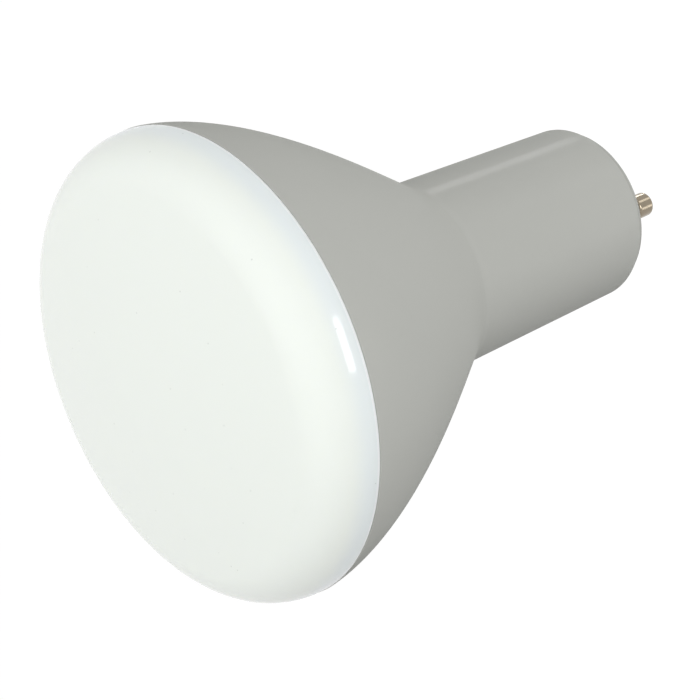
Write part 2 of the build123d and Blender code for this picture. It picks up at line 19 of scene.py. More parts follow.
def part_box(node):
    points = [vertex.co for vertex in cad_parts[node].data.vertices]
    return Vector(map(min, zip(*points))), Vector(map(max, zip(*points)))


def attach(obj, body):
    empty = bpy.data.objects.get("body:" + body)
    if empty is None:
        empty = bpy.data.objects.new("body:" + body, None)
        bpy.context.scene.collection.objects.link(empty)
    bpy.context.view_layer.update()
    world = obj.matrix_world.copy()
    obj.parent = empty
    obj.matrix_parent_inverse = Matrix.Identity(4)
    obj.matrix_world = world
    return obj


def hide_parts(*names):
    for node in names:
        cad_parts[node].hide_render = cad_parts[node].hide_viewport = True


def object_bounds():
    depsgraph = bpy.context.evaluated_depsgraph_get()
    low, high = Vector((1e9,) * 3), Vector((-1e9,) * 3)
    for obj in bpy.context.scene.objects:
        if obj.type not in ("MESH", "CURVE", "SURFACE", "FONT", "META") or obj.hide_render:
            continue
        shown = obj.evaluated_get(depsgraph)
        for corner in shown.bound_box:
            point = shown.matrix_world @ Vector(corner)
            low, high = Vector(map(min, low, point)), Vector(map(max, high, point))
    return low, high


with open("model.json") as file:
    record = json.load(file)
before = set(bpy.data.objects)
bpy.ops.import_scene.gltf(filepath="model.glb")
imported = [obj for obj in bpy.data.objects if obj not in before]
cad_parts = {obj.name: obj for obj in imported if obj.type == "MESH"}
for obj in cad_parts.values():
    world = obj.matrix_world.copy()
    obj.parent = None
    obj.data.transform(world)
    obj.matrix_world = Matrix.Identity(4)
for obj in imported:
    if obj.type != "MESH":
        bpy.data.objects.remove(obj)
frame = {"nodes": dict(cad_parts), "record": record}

CAD_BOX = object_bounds()
LOG = logging.getLogger("flood_bulb")

MM = 0.001
BODY = "root"
SHARP_ANGLE = math.radians(32)
ON_AXIS = 1e-9
NOISE_MIDDLE = 0.5
NOISE_DETAIL = 2.0

# Points on a turned piece's ring, and on the runs of the outlines
RING_POINTS = 256
NECK_POINTS = 24
CORNER_POINTS = 32
BELL_POINTS = 400
BELL_STEP = 4
DOME_POINTS = 48

Point = tuple[float, float]
Colour = tuple[float, float, float]
Faces = list[list[int]]

WHITE: Colour = (1.0, 1.0, 1.0)


class Ray(Enum):
    """Kinds of ray that see the white surroundings as they are."""

    CAMERA = "Is Camera Ray"
    GLOSSY = "Is Glossy Ray"
    TRANSMISSION = "Is Transmission Ray"


class Wire:
    """An output socket of a shader. Arithmetic on a number's wire adds Math nodes."""

    def __init__(self, graph: "ShaderGraph", socket: bpy.types.NodeSocket | None) -> None:
        """Keeps the graph and the socket."""
        self.graph = graph
        self.socket = socket

    def __add__(self, other: "Number") -> "Wire":
        """This number plus another."""
        return self.graph.maths("ADD", self, other)

    __radd__ = __add__

    def __sub__(self, other: "Number") -> "Wire":
        """This number less another."""
        return self.graph.maths("SUBTRACT", self, other)

    def __rsub__(self, other: "Number") -> "Wire":
        """Another number less this one."""
        return self.graph.maths("SUBTRACT", other, self)

    def __mul__(self, other: "Number") -> "Wire":
        """This number times another."""
        return self.graph.maths("MULTIPLY", self, other)

    __rmul__ = __mul__

    def __lt__(self, other: "Number") -> "Wire":
        """One where this number is below another, else zero."""
        return self.graph.maths("LESS_THAN", self, other)

    def __abs__(self) -> "Wire":
        """This number without its sign."""
        return self.graph.maths("ABSOLUTE", self)

    def sine(self) -> "Wire":
        """The sine of this number, in radians."""
        return self.graph.maths("SINE", self)

    def larger(self, other: "Number") -> "Wire":
        """The larger of this number and another."""
        return self.graph.maths("MAXIMUM", self, other)

    def eased(self, low: float, high: float) -> "Wire":
        """A smooth step from zero at a low value to one at a high value.

        Args:
            low: Value below which the step is zero.
            high: Value above which the step is one.

        Returns:
            The step's wire.
        """
        settings = {"interpolation_type": "SMOOTHSTEP"}
        sockets = {"Value": self, "From Min": low, "From Max": high}
        return self.graph.node("ShaderNodeMapRange", "Result", settings, sockets)


Number = Wire | float


class ShaderGraph:
    """Builds one node tree, of a material or of the world."""

    def __init__(self, tree: bpy.types.NodeTree) -> None:
        """Empties a tree and keeps it."""
        self.tree = tree
        tree.nodes.clear()

    def node(self, kind: str, output: str, settings: dict[str, Any], sockets: dict[str, Any]) -> Wire:
        """Adds any node: its settings first, then the values or links of its sockets.

        Args:
            kind: Blender's type of the node.
            output: Name or identifier of the output that is wanted, or nothing for none.
            settings: Attributes of the node.
            sockets: A value or a wire for each input, by name or identifier.

        Returns:
            The wire of the output.
        """
        made = self.tree.nodes.new(kind)
        for name, value in settings.items():
            setattr(made, name, value)
        for name, value in sockets.items():
            self.feed(self.find(made.inputs, name), value)
        return Wire(self, self.find(made.outputs, output) if output else None)

    @staticmethod
    def find(sockets: Sequence[bpy.types.NodeSocket], name: str) -> bpy.types.NodeSocket:
        """The socket with that identifier or, failing that, that name."""
        exact = [socket for socket in sockets if socket.identifier == name]
        return exact[0] if exact else sockets[name]

    def feed(self, socket: bpy.types.NodeSocket, value: Any) -> None:
        """Links an input to a wire, or sets its value.

        Args:
            socket: The input.
            value: A wire, or a value of the input's kind.
        """
        if isinstance(value, Wire):
            self.tree.links.new(value.socket, socket)
        else:
            socket.default_value = value

    def maths(self, operation: str, *operands: Number) -> Wire:
        """A Math node on one or two numbers.

        Args:
            operation: Blender's name of the operation.
            operands: The numbers or their wires, in order.

        Returns:
            The result's wire.
        """
        made = self.tree.nodes.new("ShaderNodeMath")
        made.operation = operation
        for socket, operand in zip(made.inputs, operands):
            self.feed(socket, operand)
        return Wire(self, made.outputs[0])

    def place(self) -> Wire:
        """The point on the piece, in the lamp's frame."""
        return self.node("ShaderNodeTexCoord", "Object", {}, {})

    def height(self) -> Wire:
        """Height of the point along the lamp's axis."""
        return self.node("ShaderNodeSeparateXYZ", "Z", {}, {"Vector": self.place()})

    def noise(self, size: float) -> Wire:
        """Soft noise from zero to one, with blots of about that size in metres."""
        sockets = {"Vector": self.place(), "Scale": 1 / size, "Detail": NOISE_DETAIL}
        return self.node("ShaderNodeTexNoise", "Fac", {}, sockets)

    def dots(self, spacing: float) -> Wire:
        """Distance to the nearest of scattered points, as a share of their spacing in metres."""
        sockets = {"Vector": self.place(), "Scale": 1 / spacing}
        return self.node("ShaderNodeTexVoronoi", "Distance", {}, sockets)

    def blend(self, share: Number, first: Wire | Colour, second: Wire | Colour) -> Wire:
        """Mixes two colours.

        Args:
            share: How much of the second colour there is.
            first: First colour.
            second: Second colour.

        Returns:
            The mixed colour's wire.
        """
        sockets = {"Factor_Float": share, "A_Color": opaque(first), "B_Color": opaque(second)}
        return self.node("ShaderNodeMix", "Result_Color", {"data_type": "RGBA"}, sockets)

    def bump(self, height: Wire, depth: float) -> Wire:
        """Normals of a surface that rises by a depth in metres where the height is one."""
        sockets = {"Height": height, "Distance": depth, "Strength": 1.0}
        return self.node("ShaderNodeBump", "Normal", {}, sockets)

    def seen_plainly(self) -> Wire:
        """One for the rays that see the white surroundings, zero for the rays that light the object."""
        camera, glossy, through = (self.node("ShaderNodeLightPath", ray.value, {}, {}) for ray in Ray)
        return camera.larger(glossy).larger(through)

    def surface(self, shader: Wire, kind: str = "ShaderNodeOutputMaterial") -> None:
        """Links a shader to the tree's output."""
        self.node(kind, "", {}, {"Surface": shader})


def opaque(colour: Wire | Colour) -> Any:
    """A colour with full alpha, or a wire as it is."""
    return colour if isinstance(colour, Wire) else (*colour, 1.0)


@dataclass(frozen=True)
class Finish:
    """A finish of one material slot: how its colour, gloss and grain vary over the surface."""

    slot: str
    colour: Colour
    roughness: float

    def material(self) -> bpy.types.Material:
        """Makes the finish's material once, beside the plain one that the frame brings for the slot.

        Returns:
            The material.
        """
        name = f"{self.slot}_finish"
        made = bpy.data.materials.get(name)
        if made is None:
            made = bpy.data.materials.new(name)
            made.use_nodes = True
            graph = ShaderGraph(made.node_tree)
            graph.surface(graph.node("ShaderNodeBsdfPrincipled", "BSDF", {}, self.sockets(graph)))
        return made

    def sockets(self, graph: ShaderGraph) -> dict[str, Any]:
        """Values and wires of the surface shader, by socket."""
        return {"Base Color": opaque(self.colour), "Roughness": self.roughness}


@dataclass(frozen=True)
class Moulded(Finish):
    """Moulded, dipped or coated matter: slow blots of a second tone, and a fine grain in gloss and relief."""

    tone: Colour
    blot: float = 12 * MM
    grain: float = 0.5 * MM
    uneven: float = 0.08
    depth: float = 0.004 * MM
    specular: float = 0.5
    coat: float = 0.0

    def sockets(self, graph: ShaderGraph) -> dict[str, Any]:
        """Works out the surface shader.

        Args:
            graph: The material's node tree.

        Returns:
            A value or wire for each of the shader's sockets.
        """
        grain = graph.noise(self.grain)
        return {
            "Base Color": graph.blend(graph.noise(self.blot), self.colour, self.tone),
            "Roughness": self.roughness + (grain - NOISE_MIDDLE) * self.uneven,
            "Specular IOR Level": self.specular,
            "Coat Weight": self.coat,
            "Coat Roughness": self.roughness,
            "Normal": graph.bump(grain, self.depth),
        }


@dataclass(frozen=True)
class Shell(Moulded):
    """The housing: moulded, with a thin gloss on the neck that fades away up the bell."""

    gloss_end: float = 55 * MM
    dull_start: float = 80 * MM

    def sockets(self, graph: ShaderGraph) -> dict[str, Any]:
        """Works out the surface shader.

        Args:
            graph: The material's node tree.

        Returns:
            A value or wire for each of the shader's sockets.
        """
        gloss = 1 - graph.height().eased(self.gloss_end, self.dull_start)
        return super().sockets(graph) | {"Coat Weight": gloss * self.coat}


@dataclass(frozen=True)
class Milky(Finish):
    """The lens: translucent white, with a painted cool shade round its shoulder, a painted highlight along
    its rim, and a few tiny dark specks in it.
    """

    # shoulder is a painted cool shade, darker and bluer than the face; edge is a painted highlight along the
    # rim
    shoulder: Colour
    edge: Colour
    speck: Colour
    face_z: float = 110.5 * MM
    shoulder_z: float = 106.5 * MM
    rim_highlight_z: float = 105.1 * MM
    speck_spacing: float = 4.0 * MM
    speck_size: float = 0.038
    speck_share: float = 0.3
    blot: float = 9 * MM
    mottle: float = 0.05
    ripple: float = 0.003 * MM
    translucency: float = 0.25
    light_depth: float = 2.0 * MM
    light_reach: Colour = (1.0, 1.0, 0.9)

    def sockets(self, graph: ShaderGraph) -> dict[str, Any]:
        """Works out the surface shader.

        Args:
            graph: The material's node tree.

        Returns:
            A value or wire for each of the shader's sockets.
        """
        height = graph.height()
        blots = graph.noise(self.blot)
        # Painted cool shade: below the face the colour turns to the darker, bluer shoulder colour, all round
        # the shoulder
        colour = graph.blend(height.eased(self.shoulder_z, self.face_z), self.shoulder, self.colour)
        colour = graph.blend(blots * self.mottle, colour, self.shoulder)
        # Painted highlight: a thin pale band along the lens' rim, below the given height
        colour = graph.blend(height < self.rim_highlight_z, colour, self.edge)
        specks = graph.dots(self.speck_spacing) < self.speck_size
        return {
            "Base Color": graph.blend(specks * self.speck_share, colour, self.speck),
            "Roughness": self.roughness + (blots - NOISE_MIDDLE) * self.mottle,
            "Subsurface Weight": self.translucency,
            "Subsurface Radius": self.light_reach,
            "Subsurface Scale": self.light_depth,
            "Normal": graph.bump(blots, self.ripple),
        }


@dataclass(frozen=True)
class Turned(Finish):
    """Plated or bare metal with fine tool rings round an axis along Z and a dull bloom in places."""

    bloom: Colour
    ring: float = 0.12 * MM
    ring_depth: float = 0.0015 * MM
    ring_wander: float = 2.0
    blot: float = 1.2 * MM
    uneven: float = 0.12

    def sockets(self, graph: ShaderGraph) -> dict[str, Any]:
        """Works out the surface shader.

        Args:
            graph: The material's node tree.

        Returns:
            A value or wire for each of the shader's sockets.
        """
        height = graph.height()
        blots = graph.noise(self.blot)
        rings = (height * (2 * math.pi / self.ring) + blots * self.ring_wander).sine()
        return {
            "Base Color": graph.blend(blots, self.colour, self.bloom),
            "Metallic": 1.0,
            "Roughness": self.roughness + (blots - NOISE_MIDDLE) * self.uneven,
            "Normal": graph.bump(rings, self.ring_depth),
        }


@dataclass(frozen=True)
class Phosphor(Finish):
    """A light-emitting package: a pale frame round a pool of yellow phosphor that lies a little lower."""

    pool: Colour
    pool_z: float
    pool_band: float = 0.06 * MM
    grain: float = 0.12 * MM
    uneven: float = 0.2
    depth: float = 0.003 * MM

    def sockets(self, graph: ShaderGraph) -> dict[str, Any]:
        """Works out the surface shader.

        Args:
            graph: The material's node tree.

        Returns:
            A value or wire for each of the shader's sockets.
        """
        height = graph.height()
        grain = graph.noise(self.grain)
        in_pool = abs(height - self.pool_z) < self.pool_band
        return {
            "Base Color": graph.blend(in_pool, self.colour, self.pool),
            "Roughness": self.roughness + (grain - NOISE_MIDDLE) * self.uneven,
            "Normal": graph.bump(grain, self.depth),
        }


# Outlines, as arrays of (radius, height)

def straight(*points: Point) -> np.ndarray:
    """Points joined by straight runs."""
    return np.array(points, float)


def arc(centre: Point, radius: float, start: float, end: float, count: int = 24) -> np.ndarray:
    """Points on an arc: the centre plus the radius times (cos angle, sin angle), angles in radians."""
    angle = np.linspace(start, end, count)
    return np.array(centre) + radius * np.stack([np.cos(angle), np.sin(angle)], -1)


def bezier(points: np.ndarray, count: int) -> np.ndarray:
    """Points on a cubic curve: the four control points weighted by the cubic Bernstein polynomials.

    Args:
        points: The four control points.
        count: How many points to work out.

    Returns:
        The curve's points.
    """
    t = np.linspace(0, 1, count)[:, None]
    s = 1 - t
    return s**3 * points[0] + 3 * s * s * t * points[1] + 3 * s * t * t * points[2] + t**3 * points[3]


def rounded(corners: Sequence[Point], radii: Sequence[float], count: int = 10) -> np.ndarray:
    """An outline whose corners are rounded by arcs that touch both sides.

    The arc's centre lies on the corner's bisector, at radius / sin(half the corner's angle) from it. The
    arc runs from its first radius to its last by spherical interpolation: each is weighted by the sine of
    the angle that is left to the other, divided by the sine of the whole turn.

    Args:
        corners: The outline's corners in order.
        radii: Each corner's radius, or zero for a sharp one.
        count: Points on each arc.

    Returns:
        The outline's points.
    """
    ring = np.array(corners, float)
    runs = []
    for before, corner, after, radius in zip(np.roll(ring, 1, 0), ring, np.roll(ring, -1, 0), radii):
        if not radius:
            runs.append(corner[None])
            continue
        back = (before - corner) / np.linalg.norm(before - corner)
        ahead = (after - corner) / np.linalg.norm(after - corner)
        half = math.acos(float(back @ ahead)) / 2
        bisector = (back + ahead) / np.linalg.norm(back + ahead)
        centre = corner + bisector * radius / math.sin(half)
        first = corner + back * radius / math.tan(half) - centre
        last = corner + ahead * radius / math.tan(half) - centre
        turn = math.pi - 2 * half
        share = np.linspace(0, 1, count)[:, None]
        sweep = np.sin((1 - share) * turn) * first + np.sin(share * turn) * last
        runs.append(centre + sweep / math.sin(turn))
    return np.concatenate(runs)


# Surfaces and pieces

def turned_surface(outline: np.ndarray, centre: Point = (0.0, 0.0)) -> tuple[np.ndarray, Faces]:
    """Closed surface of revolution about a line along Z.

    Point (i, j) is (radius i cos angle j, radius i sin angle j, height i), with the angles spread evenly
    over a full turn. The outline is a loop that runs up its outer side, and a point of it on the axis is
    kept once, as a pole.

    Args:
        outline: Points of the half section, (radius, height), in order round the loop.
        centre: Where the line of revolution passes through the XY plane.

    Returns:
        The vertices and the faces.
    """
    radius, height = outline.T
    angle = np.linspace(0, 2 * math.pi, RING_POINTS, endpoint=False)
    x = np.outer(radius, np.cos(angle)) + centre[0]
    y = np.outer(radius, np.sin(angle)) + centre[1]
    z = np.repeat(height[:, None], RING_POINTS, 1)
    vertices = np.stack([x, y, z], -1).reshape(-1, 3)
    index = np.arange(len(vertices)).reshape(len(outline), RING_POINTS)
    pole = radius < ON_AXIS
    index[pole] = index[pole, :1]
    low, high = index, np.roll(index, -1, 0)
    quads = np.stack([low, np.roll(low, -1, 1), np.roll(high, -1, 1), high], -1)
    low_pole, high_pole = pole, np.roll(pole, -1)
    plain = quads[~low_pole & ~high_pole].reshape(-1, 4)
    rising = quads[low_pole & ~high_pole][..., [0, 2, 3]].reshape(-1, 3)
    closing = quads[~low_pole & high_pole][..., [0, 1, 2]].reshape(-1, 3)
    used, plain, rising, closing = renumber(plain, rising, closing)
    return vertices[used], plain.tolist() + rising.tolist() + closing.tolist()


def renumber(*groups: np.ndarray) -> list[np.ndarray]:
    """The vertices that faces use, and the faces numbered by their place in that list."""
    used = np.unique(np.concatenate([group.ravel() for group in groups]))
    return [used, *(np.searchsorted(used, group) for group in groups)]


def make_piece(name: str, vertices: np.ndarray, faces: Faces, finish: Finish, node: str) -> None:
    """Makes a smooth-shaded piece that stands for a solid of the frame.

    Args:
        name: The piece's name.
        vertices: Points in metres.
        faces: Faces, pointing outwards.
        finish: The piece's finish.
        node: The solid that the piece stands for.
    """
    mesh = bpy.data.meshes.new(name)
    mesh.from_pydata(vertices, [], faces)
    mesh.polygons.foreach_set("use_smooth", np.ones(len(mesh.polygons), bool))
    mesh.set_sharp_from_angle(angle=SHARP_ANGLE)
    mesh.materials.append(finish.material())
    piece = bpy.data.objects.new(name, mesh)
    bpy.context.scene.collection.objects.link(piece)
    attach(piece, BODY)
    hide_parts(node)
    LOG.info("%s: %d faces, stands for %s", name, len(faces), node)


# Finishes of the outer pieces: slot, colour and roughness first
# The lens' shoulder colour is a painted cool shade, and its edge colour a painted highlight along the rim
LENS = Milky("lens", (0.87, 0.912, 0.856), 0.09, shoulder=(0.82, 0.876, 0.876),
             edge=(0.90, 0.93, 0.93), speck=(0.30, 0.33, 0.30))
HOUSING = Shell("housing", (0.494, 0.499, 0.467), 0.12, tone=(0.472, 0.479, 0.452), blot=35 * MM,
                grain=0.9 * MM, uneven=0.05, depth=0.002 * MM, specular=0.0, coat=0.05)
BASE_CAP = Moulded("base_cap", (0.45, 0.455, 0.426), 0.30, tone=(0.43, 0.435, 0.41),
                   specular=0.0, coat=0.05)
CONTACT_PIN = Turned("contact_pin", (0.31, 0.265, 0.20), 0.10, bloom=(0.26, 0.22, 0.165), uneven=0.05)


@dataclass
class Housing:
    """The moulded grey shell: a bell on a drafted neck, with a mouth for the lens and two snap grooves."""

    rim_r: float
    rim_z: float
    foot_z: float
    bell_length: float = 54.8 * MM
    rim_angle: float = math.radians(5.8)
    neck_angle: float = math.radians(30.0)
    rim_handle: float = 18.6 * MM
    neck_handle: float = 10.0 * MM
    crease: float = 5.0 * MM
    inner_fillet: float = 27.2 * MM
    neck_top_r: float = 20.1 * MM
    neck_end_r: float = 19.25 * MM
    neck_end_round: float = 0.4 * MM
    rim_edge: float = 0.15 * MM
    wall: float = 2.2 * MM
    rim_land: float = 2.8 * MM
    mouth_depth: float = 6.0 * MM
    groove: float = 0.68 * MM
    clearance: float = 0.1 * MM
    lens_bead_drop: float = 3.0 * MM
    cap_bead_z: float = 5.8 * MM

    @classmethod
    def from_frame(cls) -> "Housing":
        """A housing with the frame's rim and foot."""
        low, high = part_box("housing")
        return cls(rim_r=high.x, rim_z=high.z, foot_z=low.z)

    def bell_points(self, inset: float) -> np.ndarray:
        """Control points of the bell's curve, moved in from the outside, from the neck to the rim.

        The end points and handles move along the curve's normals there, and the neck's end lies on the
        line that halves the corner between neck and bell.

        Args:
            inset: How far the curve lies inside the outer surface.

        Returns:
            The four control points.
        """
        neck, rim = self.neck_angle, self.rim_angle
        start = np.array([self.neck_top_r, self.rim_z - self.bell_length])
        end = np.array([self.rim_r, self.rim_z])
        neck_in = inset * np.array([-math.cos(neck), math.sin(neck)])
        rim_in = inset * np.array([-math.cos(rim), math.sin(rim)])
        return np.array([
            start + inset * np.array([-1, math.tan(neck / 2)]),
            start + self.neck_handle * np.array([math.sin(neck), math.cos(neck)]) + neck_in,
            end - self.rim_handle * np.array([math.sin(rim), math.cos(rim)]) + rim_in,
            end + rim_in,
        ])

    def wall_line(self, inset: float, radius: float) -> np.ndarray:
        """Neck and bell at an inset from the outside, from the foot to the rim.

        The corner between them is an arc. Its centre lies at the arc's radius from the neck's line and
        from the bell's curve: it is where the bell, moved out by that radius, comes that far from the neck.

        Args:
            inset: How far the line lies inside the outer surface.
            radius: The arc's radius.

        Returns:
            The line's points.
        """
        control = self.bell_points(inset)
        foot = np.array([self.neck_end_r - inset, self.foot_z])
        bell = bezier(control, BELL_POINTS)
        along = np.gradient(bell, axis=0)
        outward = np.stack([along[:, 1], -along[:, 0]], -1) / np.linalg.norm(along, axis=1)[:, None]
        up = (control[0] - foot) / np.linalg.norm(control[0] - foot)
        neck_out = np.array([up[1], -up[0]])
        centres = bell + radius * outward
        away = (centres - foot) @ neck_out
        touch = int(np.searchsorted(away, radius))
        centre = centres[touch]
        start = math.atan2(*(-neck_out)[::-1])
        end = math.atan2(*(-outward[touch])[::-1])
        corner = arc(centre, radius, start % (2 * math.pi), end % (2 * math.pi), CORNER_POINTS)
        neck = np.linspace(foot, corner[0], NECK_POINTS, endpoint=False)
        gap = BELL_STEP // 2
        return np.concatenate([neck, corner, bell[touch + gap:-gap:BELL_STEP], bell[-1:]])

    def outline(self) -> np.ndarray:
        """The half section's loop: up the outside, over the rim, down the mouth and the inner wall.

        Returns:
            The loop's points.
        """
        outside = self.wall_line(0.0, self.crease)
        inside = self.wall_line(self.wall, self.inner_fillet)
        mouth_r = self.rim_r - self.rim_land
        mouth_z = self.rim_z - self.mouth_depth
        inside = inside[inside[:, 1] < mouth_z][::-1]
        inside = self.grooved(inside, self.neck_end_r - self.wall - self.clearance, self.cap_bead_z)
        foot_in = outside[0] - [self.wall, 0]
        neck_end = rounded([foot_in, outside[0], outside[1]], [0, self.neck_end_round, 0])
        rim = rounded([outside[-2], outside[-1], (mouth_r, self.rim_z)], [0, self.rim_edge, 0])
        mouth = straight((mouth_r, self.rim_z), (mouth_r, mouth_z))
        mouth = self.grooved(mouth, mouth_r - self.clearance, self.rim_z - self.lens_bead_drop)
        floor = straight((inside[0, 0], mouth_z))
        return np.concatenate([neck_end[1:-1], outside[1:-1], rim[1:-1], mouth, floor, inside])

    def grooved(self, run: np.ndarray, bead_r: float, bead_z: float) -> np.ndarray:
        """Cuts a snap groove into a wall: the arc of the groove's circle that lies beyond the wall's radius.

        Args:
            run: Points down the wall.
            bead_r: Radius of the ring that the bead's centre runs on.
            bead_z: Height of that ring.

        Returns:
            The points down the wall with the groove among them.
        """
        wall_r = float(np.interp(-bead_z, -run[:, 1], run[:, 0]))
        half = math.acos((wall_r - bead_r) / self.groove)
        reach = self.groove * math.sin(half)
        above, below = run[run[:, 1] > bead_z + reach], run[run[:, 1] < bead_z - reach]
        return np.concatenate([above, arc((bead_r, bead_z), self.groove, half, -half), below])

    def build(self) -> None:
        """Makes the shell."""
        make_piece("housing_shell", *turned_surface(self.outline()), HOUSING, "housing")


@dataclass
class Lens:
    """The milky diffuser: a shallow dome, a round shoulder, a lip on the rim and a skirt in the mouth."""

    edge_r: float
    rim_z: float
    skirt_z: float
    skirt_r: float
    bead_drop: float
    lip: float = 0.5 * MM
    shoulder: float = 10.9 * MM
    face: float = 220.0 * MM
    wall: float = 2.0 * MM
    skirt_wall: float = 1.8 * MM
    foot_edge: float = 0.2 * MM
    bead: float = 0.6 * MM

    @classmethod
    def from_frame(cls, housing: Housing) -> "Lens":
        """A lens with the frame's edge and skirt, in the housing's mouth.

        Args:
            housing: The housing that the lens closes.

        Returns:
            The lens.
        """
        low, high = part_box("lens")
        return cls(edge_r=high.x, rim_z=housing.rim_z, skirt_z=low.z,
                   skirt_r=housing.rim_r - housing.rim_land - housing.clearance,
                   bead_drop=housing.lens_bead_drop)

    def dome(self, inset: float) -> np.ndarray:
        """Shoulder and face at an inset from the outside, from the lip to the axis.

        The shoulder is an arc about a circle inside the edge. The face is an arc about a point on the axis,
        and the two meet where one line passes through both centres.

        Args:
            inset: How far the line lies inside the outer surface.

        Returns:
            The line's points.
        """
        ring = self.edge_r - self.shoulder
        lip_z = self.rim_z + self.lip
        turn = math.acos(ring / (self.face - self.shoulder))
        face_z = lip_z - ring * math.tan(turn)
        start = math.asin((self.wall - self.lip) / (self.shoulder - inset)) if inset else 0.0
        shoulder = arc((ring, lip_z), self.shoulder - inset, start, turn, DOME_POINTS)
        face = arc((0.0, face_z), self.face - inset, turn, math.pi / 2, DOME_POINTS)
        face[-1, 0] = 0.0
        return np.concatenate([shoulder, face[1:]])

    def outline(self) -> np.ndarray:
        """The half section's loop: up the skirt and lip, over the dome, and back along its inside.

        Returns:
            The loop's points.
        """
        outer = self.dome(0.0)
        inner = self.dome(self.wall)
        flange_z = self.rim_z + self.wall
        skirt_in = self.skirt_r - self.skirt_wall
        bead = arc((self.skirt_r, self.rim_z - self.bead_drop), self.bead, -math.pi / 2, math.pi / 2)
        seat = (self.skirt_r, self.rim_z), (self.edge_r, self.rim_z), outer[0]
        foot = rounded(seat, [0, self.foot_edge, 0])
        skirt = straight((skirt_in, flange_z), (skirt_in, self.skirt_z), (self.skirt_r, self.skirt_z))
        return np.concatenate([bead, foot[:-1], outer, inner[::-1], skirt])

    def build(self) -> None:
        """Makes the lens."""
        make_piece("lens_dome", *turned_surface(self.outline()), LENS, "lens")


@dataclass
class Pins:
    """The two turned contact pins: a thick head on a thinner shank, a collar let into the cap, and a tail."""

    head_r: float
    tip_z: float
    tail_z: float
    head_height: float = 4.6 * MM
    head_round: float = 0.7 * MM
    shank_r: float = 1.6 * MM
    collar_r: float = 2.2 * MM
    collar_height: float = 0.8 * MM
    rivet_r: float = 2.4 * MM
    rivet_height: float = 0.6 * MM
    tail_r: float = 1.2 * MM
    tail_height: float = 2.4 * MM
    edge: float = 0.1 * MM

    @classmethod
    def from_frame(cls) -> "Pins":
        """Pins with the frame's head and length."""
        low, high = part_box("contact_pin_right")
        return cls(head_r=(high.y - low.y) / 2, tip_z=low.z, tail_z=high.z)

    def outline(self) -> np.ndarray:
        """The half section's loop, up from the tip to the tail.

        Returns:
            The loop's points.
        """
        head_z = self.tip_z + self.head_height
        rivet_top = self.tail_z - self.tail_height
        rivet_z = rivet_top - self.rivet_height
        # Radius, height and rounding of each corner
        corners = [
            (0.0, self.tip_z, 0.0),
            (self.head_r, self.tip_z, self.head_round),
            (self.head_r, head_z, self.head_round),
            (self.shank_r, head_z, self.edge),
            (self.shank_r, 0.0, 0.0),
            (self.collar_r, 0.0, self.edge),
            (self.collar_r, self.collar_height, 0.0),
            (self.shank_r, self.collar_height, 0.0),
            (self.shank_r, rivet_z, 0.0),
            (self.rivet_r, rivet_z, 0.0),
            (self.rivet_r, rivet_top, self.edge),
            (self.tail_r, rivet_top, 0.0),
            (self.tail_r, self.tail_z, self.edge),
            (0.0, self.tail_z, 0.0),
        ]
        return rounded([corner[:2] for corner in corners], [corner[2] for corner in corners])

    def build(self) -> None:
        """Makes both pins."""
        outline = self.outline()
        for side in ("left", "right"):
            node = f"contact_pin_{side}"
            low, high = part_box(node)
            surface = turned_surface(outline, ((low.x + high.x) / 2, (low.y + high.y) / 2))
            make_piece(f"turned_pin_{side}", *surface, CONTACT_PIN, node)


